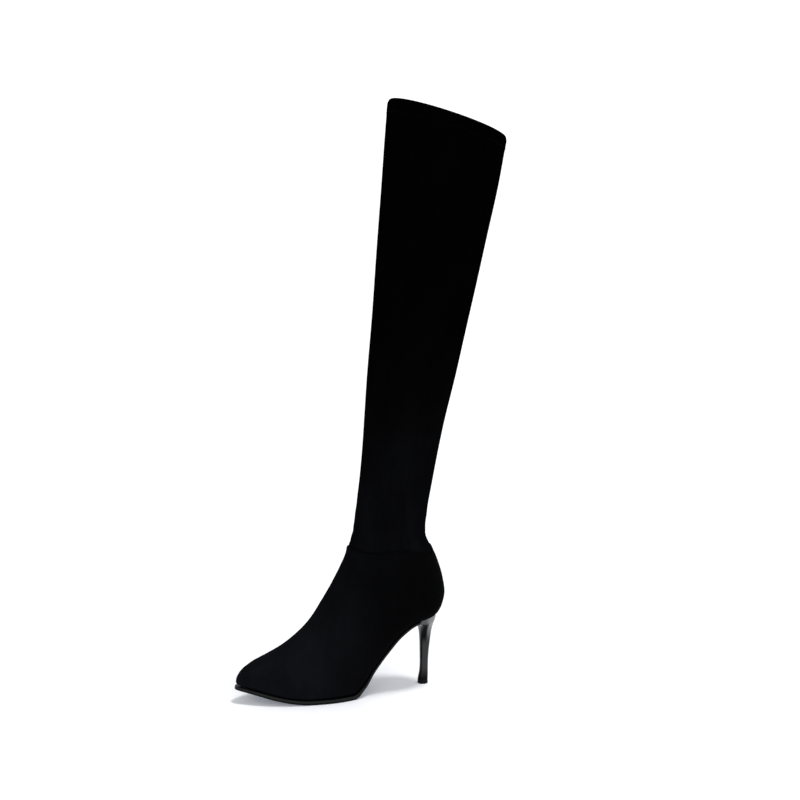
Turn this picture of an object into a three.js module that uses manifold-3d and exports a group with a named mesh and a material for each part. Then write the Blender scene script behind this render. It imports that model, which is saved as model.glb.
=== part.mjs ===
// Tall stretch boot with a stiletto heel, for the left foot.
// Millimetres. +X points to the toe, +Y to the outer side of the foot and +Z up.
// The origin is the middle of the heel's walking face, on the floor.
import * as THREE from "three";
import Module from "manifold-3d";

const wasm = await Module();
wasm.setup();

// Foot
const footLength = 233.6; // back of the heel cup to the tip of the toe
const heelOverhang = 24.5; // heel cup's back, behind the middle of the heel's foot
const ballWidth = 71; // widest part of the upper, across the ball
const seatWidth = 53; // heel cup, across
const ankleWidth = 70; // upper, across its top edge
const heelHeight = 72.5; // rise of the foot bed from the ball to the seat
const toeSpring = 11.5; // rise of the foot bed from the ball to the toe
const cupHeight = 76; // heel seat to the upper's top edge, up the back of the heel
const instepDepth = 89; // height from the foot bed to the top of the foot, behind the ball
const toeLength = 10; // rounded end of the toe
const toeDrop = 15.6; // tip of the toe, below the top of the foot where the rounding starts
const toplineWave = 3.2; // the upper's top edge swings up and down by this much
const wavePeaks = 4; // at the front, the back and both sides
const waveSections = 3; // the wave fades out over this many sections under the top edge

// Leg, as the shaft's outside
const legHeight = 456.5; // middle of the upper's top edge to the middle of the collar
const legLean = 67.5; // the collar's middle lies this far behind the ankle's middle
const ankleMiddle = 39.5; // ankle's middle, in front of the heel's foot
const collarDepth = 134; // front to back, along the sloping collar
const collarWidth = 118;
const collarSlope = 17.8; // degrees, front edge higher than the back edge
const hemRadius = 6; // rounding of the collar's folded hem
const hemTurn = 2.2; // how far the hem bends inwards at its edge
const hemRow = 0.4; // row of faces within the hem's rounding, as a share of it
const tuckDepth = 10; // lower end of the shaft, inside the upper

// Walls and layers
const upperWall = 1.8;
const toplineWall = 1; // upper's wall where it is skived, at its top edge
const shaftWall = 1.5;
const insoleThickness = 2.4;
const soleThickness = 4.5; // outsole at the ball
const soleEdge = 0.8; // outsole's edge, beyond the upper's lower edge
const soleBevel = 0.8;
const lastingMargin = 8; // upper turned in over the foot bed
const openingStart = 16; // front end of the opening in the upper's underside, from the tip of the toe
const openingEnds = 0.6; // width of that opening at its ends, as a share of its width beside them
const insoleReach = 0.49; // insole's back end, behind the heel's foot, as a share of heelOverhang
const clearance = 0.3; // left between pieces that lie on each other

// Heel
const tipHeight = 5;
const tipLength = 11.2;
const tipWidth = 10.4;
const stemLength = 8.9; // heel at its slimmest, front to back
const stemWidth = 9;
const stemLean = 1.35; // the heel's stem stands this far behind its foot
const breast = 9.2; // front of the heel's top, in front of the heel's foot
const heelRear = 13.4; // back of the heel's top, behind the heel's foot
const heelTopWidth = 33;
const roundHeel = 2.2; // exponent of the heel's rounded sides

// Faces
const around = 36; // points round a section of the foot and leg
const aroundHeel = 28;
const toeRows = [0.06, 0.22, 0.45, 0.72]; // rows in the toe's rounded end, as shares of toeLength
const soleTip = 0.02; // outsole's first row, the same way
const rowGap = 1; // least way between a piece's end and the row next to it
const smallTurn = 0.02; // steps that slopes are measured over
const smallStep = 0.2;

// Sections through the foot from the toe to the ankle. Each lies in its own plane, which tips from
// upright at the toe to level at the ankle: it runs from a point on the foot bed, or up the back of the
// heel, to a point on the top of the foot.
//   under, over    places of the two points from the heel cup's back, as shares of footLength
//   rise, spring   height of the under point, as shares of heelHeight and toeSpring
//   cup            height of the under point above the seat, as a share of cupHeight
//   depth          height of the over point above the under point, as a share of instepDepth
//   outer, inner   half widths to the outer and inner side, as shares of the width in the next column
//   belly          where the section is widest, as a share of the way from under to over
//   base, crown    exponents of its lower and upper half: 2 is round, more is square, less is a ridge
//   swing          how far the middle swings to the inner side, as a share of ballWidth
//   sole           outsole's half width as a share of the section's
//   tread          outsole's thickness as a share of soleThickness
//   steps          rows of faces from this section to the next
const footColumns = [
  "under", "rise", "spring", "cup", "over", "depth", "outer", "inner", "width",
  "belly", "base", "crown", "swing", "sole", "tread", "steps",
];
const footTable = [
  [0.957, 0, 1, 0, 0.957, 0.234, 0.165, 0.165, ballWidth, 0.34, 3.8, 2.1, 0.108, 1.0, 0.8, 2],
  [0.915, 0, 0.81, 0, 0.917, 0.32, 0.262, 0.262, ballWidth, 0.3, 5, 2, 0.1, 0.99, 0.82, 2],
  [0.845, 0, 0.45, 0, 0.857, 0.438, 0.375, 0.385, ballWidth, 0.26, 6.5, 1.95, 0.075, 0.97, 0.88, 2],
  [0.76, 0, 0.12, 0, 0.79, 0.57, 0.45, 0.48, ballWidth, 0.24, 7.5, 1.9, 0.045, 0.95, 0.97, 1],
  [0.694, 0, 0, 0, 0.733, 0.693, 0.48, 0.495, ballWidth, 0.23, 7.5, 1.9, 0.02, 0.94, 1, 2],
  [0.583, 0, 0, 0, 0.665, 0.866, 0.5, 0.45, ballWidth, 0.25, 7.5, 1.9, 0, 0.94, 1, 2],
  [0.493, 0, 0, 0, 0.63, 0.99, 0.475, 0.405, ballWidth, 0.27, 6.5, 1.9, 0, 0.91, 0.95, 3],
  [0.441, 0.09, 0, 0, 0.603, 1.028, 0.435, 0.38, ballWidth, 0.3, 5.6, 1.9, 0, 0.85, 0.66, 3],
  [0.38, 0.315, 0, 0, 0.576, 0.955, 0.4, 0.36, ballWidth, 0.33, 5, 1.9, 0, 0.75, 0.5, 2],
  [0.313, 0.549, 0, 0, 0.5535, 0.862, 0.38, 0.35, ballWidth, 0.35, 4.6, 1.9, 0, 0.68, 0.5, 2],
  [0.2355, 0.79, 0, 0, 0.533, 0.762, 0.495, 0.475, seatWidth, 0.36, 4, 1.9, 0, 0.64, 0.5, 2],
  [0.16, 0.934, 0, 0, 0.516, 0.727, 0.49, 0.485, seatWidth, 0.34, 4, 1.9, 0, 0.62, 0.5, 2],
  [0.09, 0.984, 0, 0, 0.503, 0.755, 0.495, 0.495, seatWidth, 0.31, 3.4, 1.9, 0, 0.5, 0.5, 1],
  [0.05, 1, 0, 0.035, 0.495, 0.755, 0.505, 0.505, seatWidth, 0.29, 2.7, 1.9, 0, 0.5, 0.5, 2],
  [0.0195, 1, 0, 0.16, 0.489, 0.68, 0.52, 0.52, seatWidth, 0.29, 2.3, 1.9, 0, 0.5, 0.5, 2],
  [0.0047, 1, 0, 0.351, 0.4845, 0.544, 0.54, 0.54, seatWidth, 0.32, 2.15, 1.95, 0, 0.5, 0.5, 1],
  [0.0132, 1, 0, 0.542, 0.481, 0.404, 0.56, 0.56, seatWidth, 0.36, 2.1, 1.95, 0, 0.5, 0.5, 1],
  [0.0329, 1, 0, 0.759, 0.478, 0.24, 0.444, 0.444, ankleWidth, 0.4, 2.1, 2, 0, 0.5, 0.5, 2],
  [0.0509, 1, 0, 0.904, 0.4755, 0.132, 0.459, 0.459, ankleWidth, 0.43, 2.1, 2, 0, 0.5, 0.5, 1],
  [0.0654, 1, 0, 1, 0.473, 0.066, 0.47, 0.47, ankleWidth, 0.45, 2.1, 2, 0, 0.5, 0.5, 1],
];

// Sections through the leg, as shares of the leg's named sizes.
//   up, lean       place of the section's middle, as shares of legHeight and legLean
//   depth, width   its size, as shares of collarDepth and collarWidth
//   slope          tip of its plane, as a share of collarSlope
const legColumns = ["up", "lean", "depth", "width", "slope", "belly", "steps"];
const legTable = [
  [0.04, 0.004, 0.598, 0.551, 0.05, 0.48, 1],
  [0.09, 0.045, 0.586, 0.566, 0.12, 0.49, 1],
  [0.156, 0.115, 0.592, 0.604, 0.2, 0.5, 1],
  [0.227, 0.186, 0.608, 0.658, 0.3, 0.5, 1],
  [0.31, 0.269, 0.644, 0.708, 0.4, 0.5, 1],
  [0.41, 0.378, 0.702, 0.768, 0.5, 0.5, 1],
  [0.532, 0.509, 0.76, 0.836, 0.62, 0.5, 1],
  [0.653, 0.639, 0.825, 0.903, 0.74, 0.5, 1],
  [0.774, 0.761, 0.888, 0.954, 0.85, 0.5, 1],
  [0.895, 0.885, 0.957, 0.99, 0.94, 0.5, 1],
  [1, 0.985, 1, 1, 1, 0.5, 1],
];

// Sections of the heel's stem, from its foot to its top.
//   up             height above the tip piece, as a share of the way to the seat
//   rear, front    share of the way from the stem's size to the top's size at the back and front
//   wide           the same for its width
//   flare          share of the way from the stem's size to the tip piece's size
//   square         exponent of its front half: 2 is round, more is a flat breast
const heelColumns = ["up", "rear", "front", "wide", "flare", "square"];
const heelTable = [
  [0, 0, 0, 0, 0.95, 2.2],
  [0.04, 0, 0, 0, 0.72, 2.2],
  [0.1, 0, 0, 0, 0.34, 2.2],
  [0.18, 0, 0, 0, 0.1, 2.2],
  [0.28, 0.01, 0, 0.01, 0, 2.3],
  [0.42, 0.09, 0.01, 0.03, 0, 2.4],
  [0.56, 0.24, 0.03, 0.07, 0, 2.5],
  [0.66, 0.36, 0.06, 0.13, 0, 2.6],
  [0.74, 0.46, 0.12, 0.22, 0, 2.8],
  [0.8, 0.55, 0.2, 0.35, 0, 3.1],
  [0.85, 0.64, 0.36, 0.51, 0, 3.6],
  [0.88, 0.7, 0.6, 0.66, 0, 4.2],
  [0.9, 0.75, 1, 0.78, 0, 4.8],
  [0.94, 0.85, 1, 0.92, 0, 5.2],
  [1, 0.97, 1, 1, 0, 5.4],
  [1.1, 1, 1, 1, 0, 5.4],
];

// Rings of the tip piece, from the floor up, with height and size as shares.
const tipColumns = ["up", "size"];
const tipTable = [
  [0, 0.97],
  [0.12, 1],
  [1, 0.97],
];

const radians = (degrees) => (degrees * Math.PI) / 180;
const mix = (a, b, share) => a + (b - a) * share;
const named = (columns, table) =>
  table.map((row) => Object.fromEntries(columns.map((column, i) => [column, row[i]])));

// The foot's and the leg's sections in one list, with real sizes. The form runs over the shaft by the
// thickness of the upper's edge, so that the shaft lies within it all the way.
const shaftDepth = toplineWall + clearance;
const bed = soleThickness + clearance;
const seat = bed + heelHeight;
const footSections = named(footColumns, footTable).map((row) => {
  const underHeight = bed + row.rise * heelHeight + row.spring * toeSpring + row.cup * cupHeight;
  return {
    underX: row.under * footLength - heelOverhang,
    underZ: underHeight,
    overX: row.over * footLength - heelOverhang,
    overZ: underHeight + row.depth * instepDepth,
    outer: row.outer * row.width,
    inner: row.inner * row.width,
    belly: row.belly,
    base: row.base,
    crown: row.crown,
    swing: row.swing * ballWidth,
    sole: row.sole,
    tread: row.tread * soleThickness,
    steps: row.steps,
  };
});
const ankleHeight = (footSections.at(-1).underZ + footSections.at(-1).overZ) / 2;
const legSections = named(legColumns, legTable).map((row) => {
  const tip = radians(row.slope * collarSlope);
  const half = (row.depth * collarDepth) / 2 + shaftDepth;
  const x = ankleMiddle - row.lean * legLean;
  const z = ankleHeight + row.up * legHeight;
  return {
    ...footSections.at(-1),
    underX: x - half * Math.cos(tip),
    underZ: z - half * Math.sin(tip),
    overX: x + half * Math.cos(tip),
    overZ: z + half * Math.sin(tip),
    outer: (row.width * collarWidth) / 2 + shaftDepth,
    inner: (row.width * collarWidth) / 2 + shaftDepth,
    belly: row.belly,
    base: 2,
    crown: 2,
    steps: row.steps,
  };
});
const sections = [...footSections, ...legSections];

// Places along the form: 0 is the tip of the toe, then the mean of both edges' lengths.
const places = [toeLength];
sections.slice(1).forEach((section, i) => {
  const last = sections[i];
  const underStep = Math.hypot(section.underX - last.underX, section.underZ - last.underZ);
  const overStep = Math.hypot(section.overX - last.overX, section.overZ - last.overZ);
  places.push(places[i] + (underStep + overStep) / 2);
});
const topline = places[footSections.length - 1];
const collar = places.at(-1);

// A smooth curve through a list of values that never swings past them, so level stretches stay level.
function smoothCurve(at, values) {
  const slopes = values.slice(1).map((value, i) => (value - values[i]) / (at[i + 1] - at[i]));
  const tangents = values.map((_, i) => {
    if (i === 0) return slopes[0];
    if (i === values.length - 1) return slopes[i - 1];
    const [before, after] = [slopes[i - 1], slopes[i]];
    if (before * after <= 0) return 0;
    const near = at[i] - at[i - 1];
    const far = at[i + 1] - at[i];
    return (3 * (near + far)) / ((2 * far + near) / before + (far + 2 * near) / after);
  });
  return (place) => {
    let i = at.findIndex((knot) => knot > place) - 1;
    if (i < 0) i = place < at[0] ? 0 : at.length - 2;
    const span = at[i + 1] - at[i];
    const t = (place - at[i]) / span;
    const start = (1 + 2 * t) * (1 - t) ** 2 * values[i] + t * (1 - t) ** 2 * span * tangents[i];
    return start + t * t * (3 - 2 * t) * values[i + 1] - t * t * (1 - t) * span * tangents[i + 1];
  };
}
const curves = Object.fromEntries(
  Object.keys(sections[0])
    .filter((key) => key !== "steps")
    .map((key) => [key, smoothCurve(places, sections.map((section) => section[key]))]),
);
const toeTip = {
  x: sections[0].underX + toeLength,
  z: sections[0].overZ - toeDrop,
};

// One section of the form at any place. Short of the first one, the toe's end rounds off as a parabola.
function sectionAt(place) {
  const inToe = place < toeLength;
  const section = Object.fromEntries(
    Object.entries(curves).map(([key, curve]) => [key, curve(inToe ? toeLength : place)]),
  );
  if (inToe) {
    const scale = Math.sqrt(Math.max(place, 0) / toeLength);
    section.underX = section.overX = toeTip.x - place;
    section.underZ = mix(toeTip.z, section.underZ, scale);
    section.overZ = mix(toeTip.z, section.overZ, scale);
    section.outer *= scale;
    section.inner *= scale;
  }
  return section;
}

// A point of the form: turn goes from 0 at the under point by the inner side to half a turn at the top.
function formPoint(place, turn) {
  const section = sectionAt(place);
  const [c, s] = [Math.cos(turn), Math.sin(turn)];
  const below = c > 0;
  const power = 2 / (below ? section.base : section.crown);
  const along = below
    ? section.belly * (1 - Math.abs(c) ** power)
    : mix(section.belly, 1, Math.abs(c) ** power);
  const half = s > 0 ? section.inner : section.outer;
  return new THREE.Vector3(
    mix(section.underX, section.overX, along),
    -Math.sign(s) * half * Math.abs(s) ** power - section.swing,
    mix(section.underZ, section.overZ, along),
  );
}

// The same point, moved in by a depth at right angles to the surface.
function insetPoint(place, turn, depth) {
  if (place <= 0) return new THREE.Vector3(toeTip.x - depth, -sections[0].swing, toeTip.z);
  const across = formPoint(place, turn + smallTurn).sub(formPoint(place, turn - smallTurn));
  const step = Math.min(smallStep, place / 2);
  const along = formPoint(place + step, turn).sub(formPoint(place - step, turn));
  const outwards = across.cross(along).normalize();
  return formPoint(place, turn).addScaledVector(outwards, -depth);
}

// A closed mesh from rings of points. A ring of one point is a pole; loop joins the last ring to the first.
function skin(rings, loop = false) {
  const positions = rings.flat().flatMap((point) => [point.x, point.y, point.z]);
  const starts = [0];
  rings.forEach((ring) => starts.push(starts.at(-1) + ring.length));
  const faces = [];
  const pairs = rings.map((_, i) => [i, (i + 1) % rings.length]).slice(0, loop ? undefined : -1);
  pairs.forEach(([low, high]) => {
    const count = Math.max(rings[low].length, rings[high].length);
    const index = (ring, i) => starts[ring] + (rings[ring].length === 1 ? 0 : i % count);
    for (let i = 0; i < count; i++) {
      const [a, b, c, d] = [index(low, i), index(low, i + 1), index(high, i + 1), index(high, i)];
      if (a !== b) faces.push(a, b, c);
      if (c !== d) faces.push(a, c, d);
    }
  });
  const mesh = new wasm.Mesh({
    numProp: 3,
    vertProperties: new Float32Array(positions),
    triVerts: new Uint32Array(faces),
  });
  return new wasm.Manifold(mesh);
}

const centre = (ring) =>
  ring.reduce((sum, point) => sum.add(point), new THREE.Vector3()).divideScalar(ring.length);
const closed = (rings) => [[centre(rings[0])], ...rings, [centre(rings.at(-1))]];

// Places of the rows of faces between two sections of the list.
function rowsBetween(first, last) {
  const rows = [];
  for (let i = first; i < last; i++)
    for (let k = 0; k < sections[i].steps; k++)
      rows.push(mix(places[i], places[i + 1], k / sections[i].steps));
  return [...rows, places[last]];
}

const ring = (pointAt, count) =>
  Array.from({ length: count }, (_, i) => pointAt((i / count) * 2 * Math.PI));

const lastIndex = footSections.length - 1;
const footRows = [...toeRows.map((share) => share * toeLength), ...rowsBetween(0, lastIndex)];

// How near a place is to the upper's top edge: 0 where the wave starts, and 1 at the edge and above it.
const waveStart = places[lastIndex - waveSections];
const nearTop = (place) => Math.min(Math.max((place - waveStart) / (topline - waveStart), 0), 1);

// The rows wave towards the upper's top edge, and its wall is skived there.
const wavedPlace = (place, turn) =>
  place > topline ? place : place + nearTop(place) * toplineWave * Math.cos(wavePeaks * turn);
const wallAt = (place) => mix(upperWall, toplineWall, nearTop(place));

// The foot's form up to its top edge, as rings at a depth under its surface.
function footRings(depthAt) {
  const tip = [insetPoint(0, 0, depthAt(0))];
  const sides = footRows.map((place) =>
    ring((turn) => insetPoint(wavedPlace(place, turn), turn, depthAt(place)), around),
  );
  return [tip, ...sides];
}
function footForm(depthAt) {
  const rings = footRings(depthAt);
  return skin([...rings, [centre(rings.at(-1))]]);
}

// The line of the foot bed: a place on it, and the direction up into the foot.
const bedSlope =
  (footSections[0].underZ - footSections[1].underZ) / (footSections[0].underX - footSections[1].underX);
function bedPoint(place) {
  const section = sectionAt(place);
  if (place >= toeLength) return new THREE.Vector2(section.underX, section.underZ);
  const beyond = section.underX - footSections[0].underX;
  return new THREE.Vector2(section.underX, footSections[0].underZ + beyond * bedSlope);
}
function bedNormal(place) {
  const run = bedPoint(Math.max(place - smallStep, 0)).sub(bedPoint(place + smallStep)).normalize();
  return new THREE.Vector2(-run.y, run.x);
}
const onBed = (place, height) => bedPoint(place).addScaledVector(bedNormal(place), height);

// The place whose point on the foot bed lies at a given x, found by halving the way to the heel's back.
function placeAt(x) {
  const underXs = footSections.map((section) => section.underX);
  let [low, high] = [toeLength, places[underXs.indexOf(Math.min(...underXs))]];
  while (high - low > smallStep ** 2) {
    const middle = (low + high) / 2;
    if (sectionAt(middle).underX > x) low = middle;
    else high = middle;
  }
  return low;
}

// Rows of the foot between two places, with a row at each of them.
function footRowsBetween(start, end) {
  const between = footRows.filter((place) => place > start + rowGap && place < end - rowGap);
  return [start, ...between, end];
}

// Opening in the upper's underside: all but the lasting margin.
function underOpening() {
  const rows = footRowsBetween(openingStart, placeAt(breast + lastingMargin / 2));
  const rings = rows.map((place, i) => {
    const section = sectionAt(place);
    const ends = i === 0 || i === rows.length - 1 ? openingEnds : 1;
    const outer = (section.outer * section.sole - lastingMargin) * ends - section.swing;
    const inner = (section.inner * section.sole - lastingMargin) * ends + section.swing;
    const low = onBed(place, -upperWall);
    const high = onBed(place, 2 * upperWall);
    return [
      new THREE.Vector3(low.x, outer, low.y),
      new THREE.Vector3(low.x, -inner, low.y),
      new THREE.Vector3(high.x, -inner, high.y),
      new THREE.Vector3(high.x, outer, high.y),
    ];
  });
  return skin(closed(rings));
}

function upper() {
  const outside = footRings(() => 0);
  const inside = footRings(wallAt);
  return skin([...outside, ...inside.reverse()]).subtract(underOpening());
}

// The shaft's outside lies under the form, so that its tucked end fits inside the upper.
function shaft() {
  const tucked = footRowsBetween(topline - tuckDepth, topline);
  const legRows = rowsBetween(lastIndex, sections.length - 2).slice(1);
  const hemRows = [1, hemRow, 0].map((share) => collar - share * hemRadius);
  const rows = [...tucked, ...legRows, ...hemRows];
  const hem = (place) => hemTurn * Math.max(0, 1 - (collar - place) / hemRadius) ** 2;
  const outside = (place) => wallAt(place) + clearance + hem(place);
  const wall = (depth) =>
    rows.map((place) =>
      ring((turn) => insetPoint(wavedPlace(place, turn), turn, outside(place) + depth), around),
    );
  return skin([...wall(0), ...wall(shaftWall).reverse()], true);
}

// The insole fills the upper from side to side on top of the lasting margin.
function insole() {
  const rows = footRowsBetween(toeLength, placeAt(-insoleReach * heelOverhang));
  const halfSlab = ballWidth;
  const rings = rows.map((place) => {
    const low = onBed(place, -upperWall);
    const high = onBed(place, upperWall + clearance + insoleThickness);
    return [
      new THREE.Vector3(low.x, halfSlab, low.y),
      new THREE.Vector3(low.x, -halfSlab, low.y),
      new THREE.Vector3(high.x, -halfSlab, high.y),
      new THREE.Vector3(high.x, halfSlab, high.y),
    ];
  });
  return footForm((place) => wallAt(place) + clearance).intersect(skin(closed(rings)));
}

// Outline of the outsole: the form's lower edge on one side, moved out by the sole's edge.
function solePoint(place, side) {
  const edgeAt = (at) => {
    const section = sectionAt(at);
    const half = (side > 0 ? section.outer : section.inner) * section.sole;
    return new THREE.Vector2(bedPoint(at).x, side * half - section.swing);
  };
  const edge = edgeAt(place);
  if (place <= 0) return edge.add(new THREE.Vector2(soleEdge, 0));
  const step = Math.min(smallStep, place / 2);
  const run = edgeAt(place - step).sub(edgeAt(place + step)).normalize();
  const out = new THREE.Vector2(-run.y, run.x).multiplyScalar(side * soleEdge);
  return edge.add(out);
}

// The outsole ends upright in front of the heel: its last row slides back along the foot bed.
function outsole() {
  const reach = (curves.tread(placeAt(breast)) + clearance) * bedNormal(placeAt(breast)).x;
  const end = placeAt(breast + clearance + reach);
  const rows = footRowsBetween(toeRows[0] * toeLength, end);
  const upright = (point) => {
    const [normal, back] = [bedNormal(end), point.x - breast - clearance];
    return new THREE.Vector3(point.x - back, point.y, point.z + (back * normal.x) / normal.y);
  };
  const rowAt = (place) => {
    const tread = curves.tread(Math.max(place, toeLength));
    const heights = [0, soleBevel - tread, -tread];
    const insets = [0, 0, soleBevel];
    const side = (sign) =>
      heights.map((height, i) => {
        const lift = bedNormal(place).multiplyScalar(height - clearance);
        const edge = solePoint(place, sign);
        return new THREE.Vector3(edge.x + lift.x, edge.y - sign * insets[i], bedPoint(place).y + lift.y);
      });
    return [...side(1), ...side(-1).reverse()];
  };
  const loops = [soleTip * toeLength, ...rows].map(rowAt);
  return skin(closed([...loops.slice(0, -1), loops.at(-1).map(upright)]));
}

// A level ring of a heel section: round at the back, and squarer at the breast.
function heelRing(rear, front, width, square, z) {
  const [middle, half] = [(front + rear) / 2, (front - rear) / 2];
  return ring((turn) => {
    const [c, s] = [Math.cos(turn), Math.sin(turn)];
    const power = 2 / (c > 0 ? square : roundHeel);
    return new THREE.Vector3(
      middle + half * Math.sign(c) * Math.abs(c) ** power,
      (width / 2) * Math.sign(s) * Math.abs(s) ** power,
      z,
    );
  }, aroundHeel);
}

function heel() {
  const bottom = tipHeight + clearance;
  const rings = named(heelColumns, heelTable).map((row) => {
    const stemRear = mix(-stemLean - stemLength / 2, -tipLength / 2, row.flare);
    const stemFront = mix(-stemLean + stemLength / 2, tipLength / 2, row.flare);
    const stemAcross = mix(stemWidth, tipWidth, row.flare);
    return heelRing(
      mix(stemRear, -heelRear, row.rear),
      mix(stemFront, breast, row.front),
      mix(stemAcross, heelTopWidth, row.wide),
      row.square,
      mix(bottom, seat, row.up),
    );
  });
  return skin(closed(rings)).subtract(footForm(() => -clearance));
}

function heelTip() {
  const rings = named(tipColumns, tipTable).map((row) => {
    const half = (tipLength / 2) * row.size;
    return heelRing(-half, half, tipWidth * row.size, roundHeel, row.up * tipHeight);
  });
  return skin(closed(rings));
}

function meshOf(name, solid, color, roughness) {
  const { numProp, vertProperties, triVerts } = solid.getMesh();
  const positions = [];
  for (let i = 0; i < vertProperties.length; i += numProp)
    positions.push(...vertProperties.subarray(i, i + 3));
  const geometry = new THREE.BufferGeometry();
  geometry.setAttribute("position", new THREE.Float32BufferAttribute(positions, 3));
  geometry.setIndex([...triVerts]);
  geometry.computeVertexNormals();
  const mesh = new THREE.Mesh(geometry, new THREE.MeshStandardMaterial({ color, roughness, metalness: 0 }));
  mesh.name = name;
  return mesh;
}

const boot = new THREE.Group();
boot.name = "boot";
boot.add(
  meshOf("upper", upper(), 0x0b0b0d, 0.92),
  meshOf("shaft", shaft(), 0x060607, 0.95),
  meshOf("insole", insole(), 0x191919, 0.8),
  meshOf("outsole", outsole(), 0x1c1c1e, 0.45),
  meshOf("heel", heel(), 0x0a0a0b, 0.12),
  meshOf("heel_tip", heelTip(), 0x101010, 0.6),
);

export default boot;
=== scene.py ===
# %% [markdown]
# # An over-the-knee boot in black stretch suede
#
# The CAD part gives every piece its size and place. This notebook dresses it: each visible
# piece is made again as a fine surface that lies exactly where the solid lies, and gets a
# finish of its own. The surfaces are functions of two numbers, worked out with numpy for a
# whole grid at once, so a seam or a crease is a term in a formula and not a move of points.

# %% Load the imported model
import math

import bpy
import numpy as np
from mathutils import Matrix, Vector


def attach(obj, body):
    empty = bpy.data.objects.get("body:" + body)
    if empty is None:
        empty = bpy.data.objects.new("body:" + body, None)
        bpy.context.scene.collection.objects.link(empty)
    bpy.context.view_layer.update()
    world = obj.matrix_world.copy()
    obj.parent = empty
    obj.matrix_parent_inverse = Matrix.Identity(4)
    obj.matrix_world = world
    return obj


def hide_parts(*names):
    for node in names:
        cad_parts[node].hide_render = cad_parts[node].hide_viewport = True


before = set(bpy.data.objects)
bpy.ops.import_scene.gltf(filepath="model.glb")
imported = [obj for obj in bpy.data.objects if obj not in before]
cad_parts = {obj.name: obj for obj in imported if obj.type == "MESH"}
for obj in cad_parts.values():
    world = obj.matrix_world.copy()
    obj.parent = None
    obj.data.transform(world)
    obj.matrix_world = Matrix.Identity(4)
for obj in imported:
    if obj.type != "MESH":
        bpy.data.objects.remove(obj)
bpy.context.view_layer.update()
print("CAD nodes:", sorted(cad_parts))

# %% [markdown]
# ## Sizes of the last and the leg
#
# A shoe is built over a last, and all of its parts take their shape from it. These are the
# sizes that the part's source drives its solids with, in millimetres: +X points to the toe,
# +Y to the outer side and +Z up, from the middle of the heel's walking face.

# %% Named sizes, in millimetres
MM = 0.001
TURN = 2 * math.pi

foot_length = 233.6
heel_overhang = 24.5
ball_width, seat_width, ankle_width = 71, 53, 70
heel_height, toe_spring = 72.5, 11.5
cup_height, instep_depth = 76, 89
toe_length, toe_drop = 10, 15.6
topline_wave, wave_peaks, wave_sections = 3.2, 4, 3

leg_height, leg_lean, ankle_middle = 456.5, 67.5, 39.5
collar_depth, collar_width, collar_slope = 134, 118, 17.8
hem_radius, hem_turn, tuck_depth = 6, 2.2, 10

upper_wall, topline_wall, shaft_wall = 1.8, 1, 1.5
insole_thickness, sole_thickness = 2.4, 4.5
sole_edge, clearance = 0.8, 0.3

tip_height, tip_length, tip_width = 5, 11.2, 10.4
stem_length, stem_width, stem_lean = 8.9, 9, 1.35
breast, heel_rear, heel_top_width, round_heel = 9.2, 13.4, 33, 2.2
print("foot %.1f mm long, heel %.1f, leg %.1f" % (foot_length, heel_height, leg_height))

# %% [markdown]
# ## Sections of the foot and the leg
#
# The last is described by sections from the toe to the ankle, and the leg by sections from
# the ankle to the collar. Each lies in a plane of its own that runs from a point under the
# foot, or up the back of the leg, to a point on top of it. A mesh could be pulled into shape
# by hand instead, but shares of named sizes keep the surface on the solid, because the
# part's source holds the same tables.

# %% Tables of sections
def columns_of(names, rows):
    """Dictionary of column name to array."""
    return dict(zip(names.split(), np.array(rows, float).T))


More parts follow.
